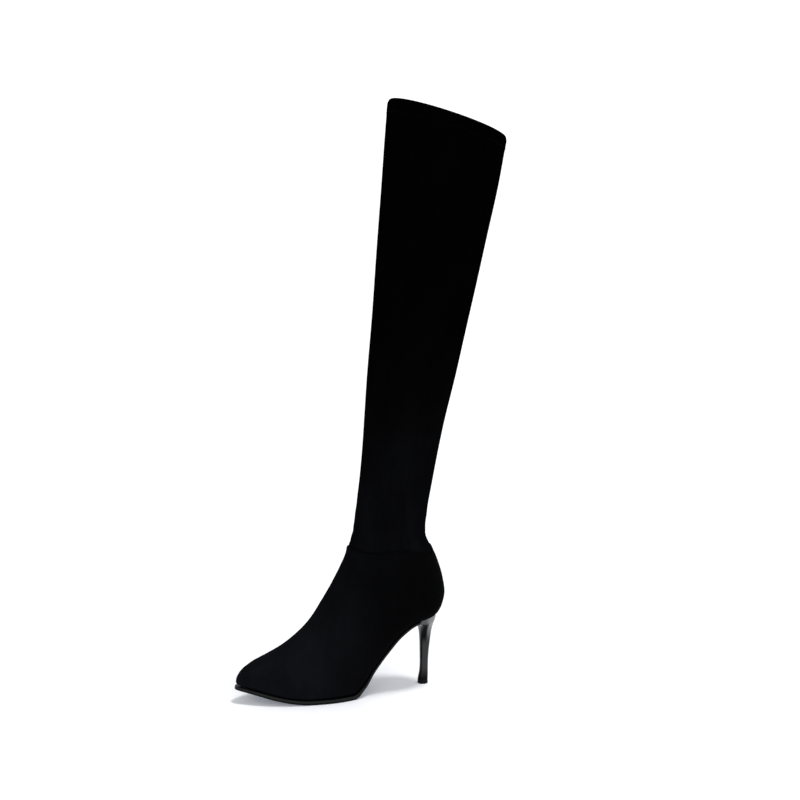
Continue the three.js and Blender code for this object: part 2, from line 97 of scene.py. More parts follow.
foot = columns_of(
    "under rise spring cup over depth outer inner width belly base crown swing sole tread",
    [
        [0.957, 0, 1, 0, 0.957, 0.234, 0.165, 0.165, ball_width, 0.34, 3.8, 2.1, 0.108, 1.0, 0.8],
        [0.915, 0, 0.81, 0, 0.917, 0.32, 0.262, 0.262, ball_width, 0.3, 5, 2, 0.1, 0.99, 0.82],
        [0.845, 0, 0.45, 0, 0.857, 0.438, 0.375, 0.385, ball_width, 0.26, 6.5, 1.95, 0.075, 0.97, 0.88],
        [0.76, 0, 0.12, 0, 0.79, 0.57, 0.45, 0.48, ball_width, 0.24, 7.5, 1.9, 0.045, 0.95, 0.97],
        [0.694, 0, 0, 0, 0.733, 0.693, 0.48, 0.495, ball_width, 0.23, 7.5, 1.9, 0.02, 0.94, 1],
        [0.583, 0, 0, 0, 0.665, 0.866, 0.5, 0.45, ball_width, 0.25, 7.5, 1.9, 0, 0.94, 1],
        [0.493, 0, 0, 0, 0.63, 0.99, 0.475, 0.405, ball_width, 0.27, 6.5, 1.9, 0, 0.91, 0.95],
        [0.441, 0.09, 0, 0, 0.603, 1.028, 0.435, 0.38, ball_width, 0.3, 5.6, 1.9, 0, 0.85, 0.66],
        [0.38, 0.315, 0, 0, 0.576, 0.955, 0.4, 0.36, ball_width, 0.33, 5, 1.9, 0, 0.75, 0.5],
        [0.313, 0.549, 0, 0, 0.5535, 0.862, 0.38, 0.35, ball_width, 0.35, 4.6, 1.9, 0, 0.68, 0.5],
        [0.2355, 0.79, 0, 0, 0.533, 0.762, 0.495, 0.475, seat_width, 0.36, 4, 1.9, 0, 0.64, 0.5],
        [0.16, 0.934, 0, 0, 0.516, 0.727, 0.49, 0.485, seat_width, 0.34, 4, 1.9, 0, 0.62, 0.5],
        [0.09, 0.984, 0, 0, 0.503, 0.755, 0.495, 0.495, seat_width, 0.31, 3.4, 1.9, 0, 0.5, 0.5],
        [0.05, 1, 0, 0.035, 0.495, 0.755, 0.505, 0.505, seat_width, 0.29, 2.7, 1.9, 0, 0.5, 0.5],
        [0.0195, 1, 0, 0.16, 0.489, 0.68, 0.52, 0.52, seat_width, 0.29, 2.3, 1.9, 0, 0.5, 0.5],
        [0.0047, 1, 0, 0.351, 0.4845, 0.544, 0.54, 0.54, seat_width, 0.32, 2.15, 1.95, 0, 0.5, 0.5],
        [0.0132, 1, 0, 0.542, 0.481, 0.404, 0.56, 0.56, seat_width, 0.36, 2.1, 1.95, 0, 0.5, 0.5],
        [0.0329, 1, 0, 0.759, 0.478, 0.24, 0.444, 0.444, ankle_width, 0.4, 2.1, 2, 0, 0.5, 0.5],
        [0.0509, 1, 0, 0.904, 0.4755, 0.132, 0.459, 0.459, ankle_width, 0.43, 2.1, 2, 0, 0.5, 0.5],
        [0.0654, 1, 0, 1, 0.473, 0.066, 0.47, 0.47, ankle_width, 0.45, 2.1, 2, 0, 0.5, 0.5],
    ],
)
leg = columns_of(
    "up lean depth width slope belly",
    [
        [0.04, 0.004, 0.598, 0.551, 0.05, 0.48],
        [0.09, 0.045, 0.586, 0.566, 0.12, 0.49],
        [0.156, 0.115, 0.592, 0.604, 0.2, 0.5],
        [0.227, 0.186, 0.608, 0.658, 0.3, 0.5],
        [0.31, 0.269, 0.644, 0.708, 0.4, 0.5],
        [0.41, 0.378, 0.702, 0.768, 0.5, 0.5],
        [0.532, 0.509, 0.76, 0.836, 0.62, 0.5],
        [0.653, 0.639, 0.825, 0.903, 0.74, 0.5],
        [0.774, 0.761, 0.888, 0.954, 0.85, 0.5],
        [0.895, 0.885, 0.957, 0.99, 0.94, 0.5],
        [1, 0.985, 1, 1, 1, 0.5],
    ],
)
stem = columns_of(
    "up rear front wide flare square",
    [
        [0, 0, 0, 0, 0.95, 2.2],
        [0.04, 0, 0, 0, 0.72, 2.2],
        [0.1, 0, 0, 0, 0.34, 2.2],
        [0.18, 0, 0, 0, 0.1, 2.2],
        [0.28, 0.01, 0, 0.01, 0, 2.3],
        [0.42, 0.09, 0.01, 0.03, 0, 2.4],
        [0.56, 0.24, 0.03, 0.07, 0, 2.5],
        [0.66, 0.36, 0.06, 0.13, 0, 2.6],
        [0.74, 0.46, 0.12, 0.22, 0, 2.8],
        [0.8, 0.55, 0.2, 0.35, 0, 3.1],
        [0.85, 0.64, 0.36, 0.51, 0, 3.6],
        [0.88, 0.7, 0.6, 0.66, 0, 4.2],
        [0.9, 0.75, 1, 0.78, 0, 4.8],
        [0.94, 0.85, 1, 0.92, 0, 5.2],
        [1, 0.97, 1, 1, 0, 5.4],
        [1.1, 1, 1, 1, 0, 5.4],
    ],
)
print("sections:", len(foot["under"]), "of the foot,", len(leg["up"]), "of the leg")

# %% [markdown]
# ## One smooth form for the whole boot
#
# Between two sections every size follows a smooth curve that never swings past the values
# it joins, so that a flat sole stays flat. The distance along the boot is called its place,
# and the angle round a section its turn: 0 under the foot and up the back seam, a quarter
# on the inner side, a half on the instep and the shin.

# %% A smooth curve through known values
def mix(a, b, share):
    """Value a share of the way from a to b."""
    return a + (b - a) * share


def smooth_curve(at, values):
    """Cubic pieces whose slope at a knot is the weighted harmonic mean of its neighbours' slopes."""
    at, values = np.asarray(at, float), np.asarray(values, float)
    slopes = np.diff(values) / np.diff(at)
    tangents = np.zeros_like(values)
    tangents[0], tangents[-1] = slopes[0], slopes[-1]
    before, after = slopes[:-1], slopes[1:]
    near, far = np.diff(at)[:-1], np.diff(at)[1:]
    with np.errstate(divide="ignore", invalid="ignore"):
        mean = 3 * (near + far) / ((2 * far + near) / before + (far + 2 * near) / after)
    tangents[1:-1] = np.where(before * after > 0, mean, 0)

    def curve(place):
        """Hermite cubic between the knots on both sides of a place."""
        i = np.clip(np.searchsorted(at, place, side="right") - 1, 0, len(at) - 2)
        span = at[i + 1] - at[i]
        t = (place - at[i]) / span
        start = (1 + 2 * t) * (1 - t) ** 2 * values[i] + t * (1 - t) ** 2 * span * tangents[i]
        end = t * t * (3 - 2 * t) * values[i + 1] - t * t * (1 - t) * span * tangents[i + 1]
        return start + end

    return curve


print("through 0, 1 and 1 the curve holds %.3f half way up" % smooth_curve([0, 1, 2], [0, 1, 1])(0.5))

# %% Sizes of every section of the boot
bed = sole_thickness + clearance
seat = bed + heel_height
shaft_depth = topline_wall + clearance

foot_form = {name: foot[name] for name in ("belly", "base", "crown", "sole")}
foot_form["under_x"] = foot["under"] * foot_length - heel_overhang
foot_form["under_z"] = (
    bed + foot["rise"] * heel_height + foot["spring"] * toe_spring + foot["cup"] * cup_height
)
foot_form["over_x"] = foot["over"] * foot_length - heel_overhang
foot_form["over_z"] = foot_form["under_z"] + foot["depth"] * instep_depth
foot_form["outer"] = foot["outer"] * foot["width"]
foot_form["inner"] = foot["inner"] * foot["width"]
foot_form["swing"] = foot["swing"] * ball_width
foot_form["tread"] = foot["tread"] * sole_thickness

ankle_height = (foot_form["under_z"][-1] + foot_form["over_z"][-1]) / 2
tip_angle = np.radians(leg["slope"] * collar_slope)
leg_half = leg["depth"] * collar_depth / 2 + shaft_depth
leg_x = ankle_middle - leg["lean"] * leg_lean
leg_z = ankle_height + leg["up"] * leg_height
leg_form = {name: np.full(len(leg["up"]), values[-1]) for name, values in foot_form.items()}
leg_form["under_x"] = leg_x - leg_half * np.cos(tip_angle)
leg_form["under_z"] = leg_z - leg_half * np.sin(tip_angle)
leg_form["over_x"] = leg_x + leg_half * np.cos(tip_angle)
leg_form["over_z"] = leg_z + leg_half * np.sin(tip_angle)
leg_form["outer"] = leg["width"] * collar_width / 2 + shaft_depth
leg_form["inner"] = leg_form["outer"]
leg_form["belly"] = leg["belly"]
leg_form["base"] = np.full(len(leg["up"]), 2.0)
leg_form["crown"] = leg_form["base"]

sections = {name: np.concatenate([foot_form[name], leg_form[name]]) for name in foot_form}
under_steps = np.hypot(np.diff(sections["under_x"]), np.diff(sections["under_z"]))
over_steps = np.hypot(np.diff(sections["over_x"]), np.diff(sections["over_z"]))
places = toe_length + np.r_[0, np.cumsum((under_steps + over_steps) / 2)]
curves = {name: smooth_curve(places, values) for name, values in sections.items()}
last_foot = len(foot["under"]) - 1
topline, collar = places[last_foot], places[-1]
wave_start = places[last_foot - wave_sections]
toe_x = sections["under_x"][0] + toe_length
toe_z = sections["over_z"][0] - toe_drop
print("topline at place %.1f, collar at %.1f" % (topline, collar))

# %% The form
def points_at(x, y, z):
    """Points with these coordinates, all spread over one grid."""
    return np.stack(np.broadcast_arrays(x, y, z), -1)


def section_at(place):
    """Sizes of the section at a place. Short of the first one, the toe's end is a parabola."""
    place = np.asarray(place, float)
    section = {name: curve(np.maximum(place, toe_length)) for name, curve in curves.items()}
    in_toe = place < toe_length
    scale = np.where(in_toe, np.sqrt(np.maximum(place, 0) / toe_length), 1)
    for name in ("under_x", "over_x"):
        section[name] = np.where(in_toe, toe_x - place, section[name])
    for name in ("under_z", "over_z"):
        section[name] = np.where(in_toe, mix(toe_z, section[name], scale), section[name])
    for name in ("outer", "inner"):
        section[name] = section[name] * scale
    return section


def form_point(place, turn):
    """Superellipse in the section's plane: below its belly with one exponent, above with another."""
    section = section_at(place)
    c, s = np.cos(turn), np.sin(turn)
    power = 2 / np.where(c > 0, section["base"], section["crown"])
    reach = np.abs(c) ** power
    along = np.where(c > 0, section["belly"] * (1 - reach), mix(section["belly"], 1, reach))
    half = np.where(s > 0, section["inner"], section["outer"])
    return points_at(
        mix(section["under_x"], section["over_x"], along),
        -np.sign(s) * half * np.abs(s) ** power - section["swing"],
        mix(section["under_z"], section["over_z"], along),
    )


collar_ring = form_point(collar, np.linspace(0, TURN, 200))
collar_girth = np.linalg.norm(np.diff(collar_ring, axis=0), axis=1).sum()
print("girth of the form at the collar: %.0f mm" % collar_girth)


# %% Its outward direction and its skin
def unit(vectors):
    """Vectors scaled to a length of one."""
    return vectors / np.maximum(np.linalg.norm(vectors, axis=-1, keepdims=True), 1e-12)


def outward(place, turn):
    """Cross product of the form's two directions, measured over small steps."""
    step = np.minimum(0.2, place / 2)
    across = form_point(place, turn + 0.02) - form_point(place, turn - 0.02)
    along = form_point(place + step, turn) - form_point(place - step, turn)
    return unit(np.cross(across, along))


def skin(place, turn, depth=0.0):
    """The form moved in by a depth at right angles to itself."""
    place, turn = np.broadcast_arrays(np.asarray(place, float), turn)
    return form_point(place, turn) - outward(place, turn) * np.asarray(depth)[..., None]


print("point on the lining at the waist:", skin(150, TURN / 4, upper_wall).round(1).tolist())


# %% What changes along the boot
def near_top(place):
    """0 up to the upper's last few sections, and evenly up to 1 at its top edge."""
    return np.clip((place - wave_start) / (topline - wave_start), 0, 1)


def waved(place, turn):
    """Rows of the upper swing up and down towards its top edge, high at front, back and sides."""
    return place + near_top(place) * topline_wave * np.cos(wave_peaks * turn)


def wall_at(place):
    """Wall of the upper, skived towards its top edge."""
    return mix(upper_wall, topline_wall, near_top(place))


def run_of(section):
    """Way in X and Z from a section's lower end to its upper end."""
    return section["over_x"] - section["under_x"], section["over_z"] - section["under_z"]


def girth_radius(place):
    """Half of a section's depth: millimetres of surface for each radian, at its side."""
    return np.hypot(*run_of(section_at(place))) / 2


print("wall %.1f mm, skived to %.1f at the top edge" % (wall_at(toe_length), wall_at(topline)))

# %% [markdown]
# ## From a grid of points to a closed mesh
#
# Every surface here is a grid: rows run along the piece and columns round it. The columns
# always close on themselves. The rows either close too, as the two walls of a tube do, or
# end in a fan of triangles. A modifier could give a sheet its thickness, but rows that run
# over the rim leave it as round as a real edge. One number a row and one a column travel
# along as UVs, in millimetres of cloth, so that a knit can follow the surface.

# %% A shown mesh
def mesh_object(name, vertices, faces, finishes, finish_of_face=None, uvs=None):
    """A shown object at the origin, in metres, riding on the boot's only body."""
    mesh = bpy.data.meshes.new(name)
    mesh.from_pydata((np.asarray(vertices) * MM).tolist(), [], faces)
    if uvs is not None:
        layer = mesh.uv_layers.new(name="cloth")
        layer.data.foreach_set("uv", np.asarray(uvs, np.float32).ravel())
    for finish in finishes:
        mesh.materials.append(finish)
    if finish_of_face is not None:
        mesh.polygons.foreach_set("material_index", np.asarray(finish_of_face, np.int32))
    mesh.polygons.foreach_set("use_smooth", np.ones(len(faces), bool))
    mesh.update()
    piece = bpy.data.objects.new(name, mesh)
    bpy.context.scene.collection.objects.link(piece)
    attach(piece, "root")
    return piece


# %% Mesh from a grid
def signed_volume(vertices, faces):
    """Sum of the tetrahedra between the origin and every face, negative if faces point inwards."""
    a, b, c = (vertices[faces[:, i]] for i in range(3))
    return float(np.einsum("ij,ij->i", a, np.cross(b, c)).sum() / 6)


def grid_solid(name, points, finishes, closed_rows=False, finish_of_row=None, uv=None):
    """Quads between neighbouring rows and columns; open ends are closed by a fan on their mean."""
    rows, columns = points.shape[:2]
    corner = np.arange(rows * columns).reshape(rows, columns)
    low = corner if closed_rows else corner[:-1]
    high = np.roll(corner, -1, 0) if closed_rows else corner[1:]
    quads = np.stack([low, np.roll(low, -1, 1), np.roll(high, -1, 1), high], -1).reshape(-1, 4)
    vertices = points.reshape(-1, 3)
    fans = np.zeros((0, 3), int)
    if not closed_rows:
        vertices = np.vstack([vertices, points[[0, -1]].mean(1)])
        first = [np.roll(corner[0], -1), corner[0], np.full(columns, rows * columns)]
        last = [corner[-1], np.roll(corner[-1], -1), np.full(columns, rows * columns + 1)]
        fans = np.vstack([np.stack(first, -1), np.stack(last, -1)])
    halves = np.vstack([quads[:, [0, 1, 2]], quads[:, [0, 2, 3]], fans])
    inside_out = signed_volume(vertices, halves) < 0
    order = slice(None, None, -1) if inside_out else slice(None)
    u, v = uv if uv else (np.arange(columns + 1.0), np.arange(len(low) + 1.0))
    left, bottom = np.meshgrid(u[:-1], v[: len(low)])
    right, top = np.meshgrid(u[1:], v[1 : len(low) + 1])
    square = np.stack([left, bottom, right, bottom, right, top, left, top], -1).reshape(-1, 4, 2)
    fan_uvs = np.tile(np.array([[u[0], v[0]]]), (3 * len(fans), 1))
    uvs = np.vstack([square[:, order].reshape(-1, 2), fan_uvs])
    faces = quads[:, order].tolist() + fans[:, order].tolist()
    finish_of_face = None
    if finish_of_row is not None:
        of_quads = np.repeat(np.asarray(finish_of_row), columns)
        finish_of_face = np.r_[of_quads, np.full(len(fans), of_quads[-1])]
    piece = mesh_object(name, vertices, faces, finishes, finish_of_face, uvs)
    print("%s: %d faces, %.1f cm3" % (name, len(faces), abs(signed_volume(vertices, halves)) / 1000))
    return piece


def beside(turn, seam):
    """Signed turn from a seam, by the shorter way."""
    return (turn - seam + math.pi) % TURN - math.pi


def turns_round(count, seams=(), offsets=()):
    """Even turns round a section, with extra ones close beside each seam."""
    even = np.arange(count) / count * TURN
    offsets = np.asarray(offsets, float)
    if not len(offsets):
        return even
    for seam in seams:
        even = even[np.abs(beside(even, seam)) > offsets.max() * 1.15]
    extra = np.r_[-offsets, 0, offsets]
    return np.sort(np.concatenate([even, *[(seam + extra) % TURN for seam in seams]]))


print("twelve even turns with one seam make", len(turns_round(12, [0], [0.1, 0.2])))


# %% [markdown]
# ## Shader maths as plain expressions
#
# Wear, nap and grain are sums and products of a few patterns. The class below wraps a
# socket, so that `1 - worn` or `grain * 0.3` adds the Math nodes by itself, and one method
# makes any other node. Colours are blended by Mix nodes, because Math would turn them grey.

# %% A socket that can be reckoned with
class Wire:
    """A socket of a node tree that can be added, multiplied and so on."""

    def __init__(self, finish, socket):
        self.finish = finish
        self.socket = socket

    def math(self, operation, first, second):
        """Result of a Math node."""
        node = self.finish.node("ShaderNodeMath", {"operation": operation}, {0: first, 1: second})
        return Wire(self.finish, node.outputs[0])

    def __add__(self, other):
        return self.math("ADD", self, other)

    def __rsub__(self, other):
        return self.math("SUBTRACT", other, self)

    def __mul__(self, other):
        return self.math("MULTIPLY", self, other)

    __radd__ = __add__
    __rmul__ = __mul__

    def sine(self):
        """Sine of the value, in radians."""
        return self.math("SINE", self, 0)

    def between(self, low, high):
        """0 below low, 1 above high and a soft step between."""
        settings = {"interpolation_type": "SMOOTHSTEP", "clamp": True}
        values = {"Value": self, "From Min": low, "From Max": high}
        return Wire(self.finish, self.finish.node("ShaderNodeMapRange", settings, values).outputs[0])


print("sockets can be added, multiplied and taken from a number")


# %% A finish and its nodes
class Finish:
    """A material's node tree around one Principled BSDF."""

    def __init__(self, name, **uniform):
        self.material = bpy.data.materials.new(name)
        self.material.use_nodes = True
        self.tree = self.material.node_tree
        self.tree.nodes.clear()
        output = self.node("ShaderNodeOutputMaterial")
        self.surface = self.node("ShaderNodeBsdfPrincipled")
        self.tree.links.new(self.surface.outputs[0], output.inputs["Surface"])
        self.place = self.node("ShaderNodeTexCoord")
        for socket, value in uniform.items():
            self.surface.inputs[socket.replace("_", " ")].default_value = value

    def node(self, kind, settings=None, values=None):
        """Adds a node; its settings come first, because some of them change its sockets."""
        node = self.tree.nodes.new(kind)
        for key, value in (settings or {}).items():
            setattr(node, key, value)
        for key, value in (values or {}).items():
            self.feed(node.inputs[key], value)
        return node

    def feed(self, socket, value):
        """Links a wire or an output to a socket, or sets the socket to a plain value."""
        if isinstance(value, Wire):
            value = value.socket
        if isinstance(value, bpy.types.NodeSocket):
            self.tree.links.new(value, socket)
        else:
            socket.default_value = value

    def wire(self, node, output=0):
        """One output of a node, ready for sums."""
        return Wire(self, node.outputs[output])

    def axis(self, letter):
        """X, Y or Z of the point, in metres."""
        return self.wire(self.node("ShaderNodeSeparateXYZ", None, {0: self.place.outputs["Object"]}), letter)

    def noise(self, scale, detail=2.0, roughness=0.5, stretch=None):
        """Noise with a scale in features to the metre, stretched along an axis if asked."""
        vector = self.place.outputs["Object"]
        if stretch is not None:
            vector = self.node("ShaderNodeMapping", None, {"Vector": vector, "Scale": stretch}).outputs[0]
        values = {"Vector": vector, "Scale": scale, "Detail": detail, "Roughness": roughness}
        return self.wire(self.node("ShaderNodeTexNoise", None, values), "Fac")

    def blend(self, share, first, second):
        """Colour between two colours."""
        node = self.node("ShaderNodeMix", {"data_type": "RGBA"}, {0: share, 6: first, 7: second})
        return node.outputs[2]

    def bump(self, height, distance, strength=1.0):
        """Relief of a height from 0 to 1, distance metres deep."""
        values = {"Height": height, "Distance": distance, "Strength": strength}
        previous = self.surface.inputs["Normal"]
        if previous.is_linked:
            values["Normal"] = previous.links[0].from_socket
        self.feed(previous, self.node("ShaderNodeBump", None, values).outputs[0])

    def colour(self, value):
        """Base colour that varies over the surface."""
        self.feed(self.surface.inputs["Base Color"], value)

    def roughness(self, value):
        """Roughness that varies over the surface."""
        self.feed(self.surface.inputs["Roughness"], value)


def grey(level, blue=1.0):
    """Grey of a level, with more blue in it as blue goes over 1."""
    return (level, level, level * blue, 1.0)


print("a bluish grey:", grey(0.01, 1.2))

# %% [markdown]
# ## Microsuede
#
# Suede is a mat of short fibres. It drinks nearly all light, and only shows that it is
# cloth where the nap has been stroked one way or the other: soft clouds a few centimetres
# wide, with a fine fleck on top. Hair particles could make the mat, but fibres this short
# only show as that fleck, and noise gives it at no cost in faces. The foot is a touch
# bluer and paler than the leg, as the photograph shows, and each pales along one axis,
# towards the toe on the foot and downwards on the leg. Both are painted light: lit and
# shaded copies of one suede, for the light that falls on the vamp, the toe and the lower leg.

# %% Suede finishes
def ink(level, blue):
    """Nearly black, with a little less red and more blue as blue goes over 1."""
    return (level, level * (1 + (blue - 1) * 0.15), level * blue, 1.0)


def suede(name, dark, light, axis, painted_light_from, painted_light_to, sheen):
    """Stroked clouds, brush strokes and a fibre fleck on a ground with painted light, paler along an axis.
    """
    finish = Finish(name, Specular_IOR_Level=sheen)
    clouds = finish.noise(24, detail=3, roughness=0.6, stretch=(1.0, 1.0, 0.5)).between(0.32, 0.7)
    strokes = finish.noise(140, detail=2, roughness=0.55, stretch=(1.0, 1.0, 0.4))
    fleck = finish.noise(1500, detail=2, roughness=0.7)
    place = finish.axis(axis)
    # Painted light: the ground runs from the dark ink to the pale one along the axis, for the light on the
    # vamp, the toe and the lower leg.
    ground = finish.blend(place.between(painted_light_from, painted_light_to), dark, light)
    nap = clouds * 0.45 + strokes * 0.4 + fleck * 0.4
    brightness = finish.node("ShaderNodeVectorMath", {"operation": "SCALE"}, {0: ground, "Scale": nap + 0.4})
    finish.colour(brightness.outputs[0])
    finish.roughness(0.88 + clouds * 0.1)
    finish.bump(strokes, 0.0003, 0.35)
    finish.bump(fleck, 0.0002, 0.7)
    return finish.material


# Painted light: the foot's ink is paler and bluer than the leg's, and each grows paler towards the toe and
# down the leg.
foot_suede = suede(
    "foot_suede", ink(0.0014, 1.2), ink(0.0046, 1.42), axis="X", painted_light_from=0.02, painted_light_to=0.18, sheen=0.015
)
shaft_suede = suede(
    "shaft_suede", ink(0.0007, 1.0), ink(0.0029, 1.25), axis="Z", painted_light_from=0.42, painted_light_to=0.14, sheen=0.0
)
print("suede finishes:", foot_suede.name, "and", shaft_suede.name)

# %% [markdown]
# ## Lining, thread, sole, heel and top piece
#
# Inside, a fine rib knit carries the suede, and its wales run up the leg, so its pattern
# reads the UVs that follow the cloth: real loops would take millions of faces. The heel
# is wood or plastic under several coats of black lacquer, almost nothing but clear
# reflections. The sole's edge is inked and buffed to a satin grey, its underside is
# rubber, and the top piece is a harder rubber.

# %% Finishes of the inside, and thread
def knit_finish():
    """Sine wales across the cloth and finer courses along it."""
    finish = Finish("rib_knit", Specular_IOR_Level=0.2)
    cloth = finish.node("ShaderNodeSeparateXYZ", None, {"Vector": finish.place.outputs["UV"]})
    across, along = finish.wire(cloth, "X"), finish.wire(cloth, "Y")
    wales, courses = (across * 4.2).sine(), (along * 6.5).sine()
    loops = wales * 0.35 + courses * 0.15 + 0.5
    fuzz = finish.noise(700, detail=3)
    finish.colour(finish.blend(loops * fuzz, grey(0.008), grey(0.034, 1.05)))
    finish.roughness(0.78 + fuzz * 0.15)
    finish.bump(loops, 0.0003, 0.7)
    return finish.material


def thread_finish():
    """Twisted polyester: a fine ripple for its twist, and hardly any gloss."""
    finish = Finish("thread", Specular_IOR_Level=0.02, Roughness=0.7)
    twist = finish.noise(2600, detail=1)
    finish.colour(finish.blend(twist, grey(0.0006), grey(0.0024, 1.2)))
    finish.bump(twist, 0.0002, 0.5)
    return finish.material


def sock_finish():
    """Thin leather: small pebbles between fine wrinkles, rubbed paler and smoother in soft patches."""
    finish = Finish("sock_lining", Specular_IOR_Level=0.35)
    vector = finish.place.outputs["Object"]
    cells = finish.node("ShaderNodeTexVoronoi", None, {"Vector": vector, "Scale": 900.0})
    pebbles = finish.wire(cells, "Distance")
    rubbed = finish.noise(30, detail=3).between(0.4, 0.7)
    finish.colour(finish.blend(rubbed, grey(0.012), grey(0.026)))
    finish.roughness(0.62 - rubbed * 0.14)
    finish.bump(pebbles, 0.0002, 0.5)
    return finish.material


knit, thread, sock = knit_finish(), thread_finish(), sock_finish()
print("inside:", knit.name, "and", sock.name)


# %% Finishes of the sole, the heel and the top piece
def sole_finish(name, level, polish, gloss):
    """Rubber with a faint mottle round a level; polish is how far its roughness drops."""
    finish = Finish(name, Specular_IOR_Level=gloss)
    mottle = finish.noise(180, detail=4, roughness=0.6)
    dust = finish.noise(1100, detail=2).between(0.55, 0.8)
    finish.colour(finish.blend(mottle * 0.8 + dust * 0.3, grey(level * 0.7), grey(level * 1.35)))
    finish.roughness(0.62 - polish + mottle * 0.16)
    finish.bump(mottle, 0.00015, 0.35)
    return finish.material


def lacquer_finish():
    """Black under a clear coat whose weight is a painted reflection: strong at the top of the back,
    weaker at the breast, and none at the foot and in a small dark patch between back and breast."""
    finish = Finish("heel_lacquer", Specular_IOR_Level=0.04, Coat_Roughness=0.05, Coat_IOR=2.8)
    x, z = finish.axis("X"), finish.axis("Z")
    # Painted reflection: the coat is raised at the top of the back for a bright reflection there, cut at the
    # breast, and taken away near the foot and in a dark patch between back and breast.
    stem_coat, rear_highlight_coat, lost_at_breast = 0.14, 0.72, 0.5
    near_seat = z.between(0.046, 0.068)
    painted_reflection_coat = stem_coat + near_seat * (rear_highlight_coat - x.between(-0.003, 0.003) * lost_at_breast)
    painted_dark_patch_x = x.between(-0.004, -0.001) * (1 - x.between(0.0015, 0.004))
    painted_dark_patch = z.between(0.044, 0.054) * (1 - z.between(0.068, 0.073)) * painted_dark_patch_x
    finish.feed(finish.surface.inputs["Coat Weight"], painted_reflection_coat * (1 - painted_dark_patch) * z.between(0.005, 0.02))
    waves = finish.noise(90, detail=2)
    specks = finish.noise(1400, detail=1).between(0.62, 0.8)
    finish.colour(finish.blend(waves * 0.5 + specks * 0.3, grey(0.002), grey(0.006, 1.1)))
    finish.roughness(0.13 + waves * 0.08)
    finish.bump(waves, 0.00006, 0.3)
    return finish.material


sole_edge_finish = sole_finish("sole_edge", level=0.005, polish=0.3, gloss=0.17)
sole_tread_finish = sole_finish("sole_tread", level=0.003, polish=0.05, gloss=0.06)
tip_finish = sole_finish("tip_rubber", level=0.003, polish=0.1, gloss=0.1)
lacquer = lacquer_finish()
print("finishes:", len(bpy.data.materials))

# %% [markdown]
# ## Relief of the cloth
#
# A seam in stretch suede is a fine groove between two low ridges, where the allowances lie
# underneath. Cloth stretched over a foam leg isn't perfectly even either: it waves by a
# few tenths of a millimetre, and gathers in very soft creases where the ankle bends. A
# cloth simulation would pull the tight cloth off the last, so the relief is a height in
# millimetres, and the creases are listed one by one.

# %% Seams, waves and creases, as heights in millimetres
seam_ridge, ridge_away, ridge_width = 0.2, 2.0, 1.1
seam_groove, groove_width = 0.45, 0.5


def bell(x, width):
    """Gaussian bell, 1 in its middle."""
    return np.exp(-((x / width) ** 2))


def seam_relief(distance):
    """Groove along a seam, with a low ridge on each side."""
    ridges = seam_ridge * bell(np.abs(distance) - ridge_away, ridge_width)
    return ridges - seam_groove * bell(distance, groove_width)


def cloth_waves(place, turn):
    """A few slow sines, whole numbers of waves round the leg."""
    slow = np.sin(place / 41 + 2 * np.sin(turn)) * np.cos(2 * turn + place / 97)
    return 0.16 * slow + 0.1 * np.sin(3 * turn + place / 23)


creases = columns_of(
    "above round reach spread depth slant",
    [
        [9, 0.50, 1.1, 3.4, 0.30, 2.0],
        [19, 0.47, 1.0, 4.2, 0.34, -3.0],
        [31, 0.53, 0.9, 5.0, 0.28, 2.5],
        [46, 0.49, 0.8, 6.5, 0.20, -2.0],
        [14, 0.02, 0.8, 4.5, 0.30, 2.0],
        [27, -0.03, 0.7, 5.5, 0.24, -3.0],
        [66, 0.28, 0.7, 9.0, 0.16, 6.0],
        [-14, 0.42, 0.6, 5.0, 0.22, 5.0],
        [-24, 0.57, 0.6, 6.0, 0.18, -5.0],
    ],
)


def crease_relief(place, turn):
    """Sum of soft troughs; each is a bell across itself and a bell round the leg, on a slant."""
    place, turn = np.broadcast_arrays(place, turn)
    height = np.zeros(place.shape)
    for above, centre, reach, spread, depth, slant in zip(*creases.values()):
        away = beside(turn, centre * TURN)
        line = topline + above + slant * away
        trough = bell(place - line, spread) - 0.5 * bell(place - line - 1.9 * spread, spread)
        height -= depth * trough * bell(away, reach)
    return height


print("creases: %d, the deepest %.2f mm" % (len(creases["depth"]), creases["depth"].max()))

# %% [markdown]
# ## Shaft
#
# The shaft is two panels of stretch suede sewn up both sides, with the top edge folded in
# and stitched down. A tube with a Solidify modifier would have a sharp rim, so its outer
# and inner faces are one grid that closes over the rim, and the wall shows its real
# thickness from above. Columns crowd beside the two seams.

# %% Hem and relief of the shaft
side_seams = (TURN / 4, 3 * TURN / 4)
hem_depth, hem_fold, hem_rise, hem_step = 15, 0.5, 0.18, 0.5
hem_stitch_up, hem_stitch_sink = 1.6, 0.3
shaft_radius, knit_radius = 45, 48
side_offsets = np.array([0.25, 0.5, 0.8, 1.2, 1.7, 2.4, 3.3, 4.6, 6.5]) / shaft_radius


def shaft_depth_at(place):
    """Depth of the shaft's outside under the form: clear of the upper below its top edge."""
    return wall_at(place - topline_wave) + clearance


def turned_in(place):
    """How far the edge leans inwards: the square of the way into the hem's rounding."""
    return hem_turn * np.clip(1 - (collar - place) / hem_radius, 0, None) ** 2


def in_hem(place):
    """0 under the hem, 1 in it and a soft step between, by a hyperbolic tangent."""
    return 0.5 + 0.5 * np.tanh((place - collar + hem_depth) / (2 * hem_step))


